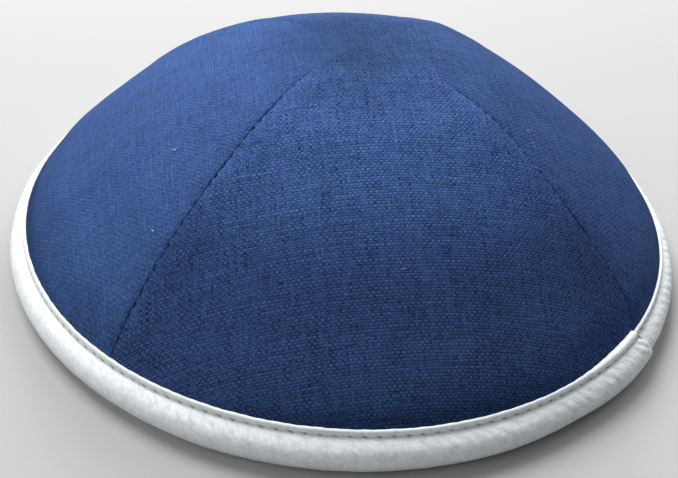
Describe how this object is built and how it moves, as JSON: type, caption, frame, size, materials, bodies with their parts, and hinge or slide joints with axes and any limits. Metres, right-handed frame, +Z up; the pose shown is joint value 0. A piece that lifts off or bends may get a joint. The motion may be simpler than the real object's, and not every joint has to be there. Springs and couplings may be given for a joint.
{
  "type": "kippah skullcap",
  "caption": "Shallow domed skullcap sewn from equal cloth gores, with its open rim bound by a folded satin tape.",
  "frame": {"origin": "on the surface that the cap rests on, under the middle of its rim", "axes": "+Z up through the crown, -Y to the front gore, +X to the right"},
  "size_m": [0.165, 0.1632, 0.05],
  "materials": {
    "navy_linen": "matte plain weave",
    "white_satin": "soft satin sheen"
  },
  "bodies": {
    "root": {"gore_front": "navy_linen", "gore_right": "navy_linen", "gore_back": "navy_linen", "gore_left": "navy_linen", "binding": "white_satin"}
  },
  "joints": []
}
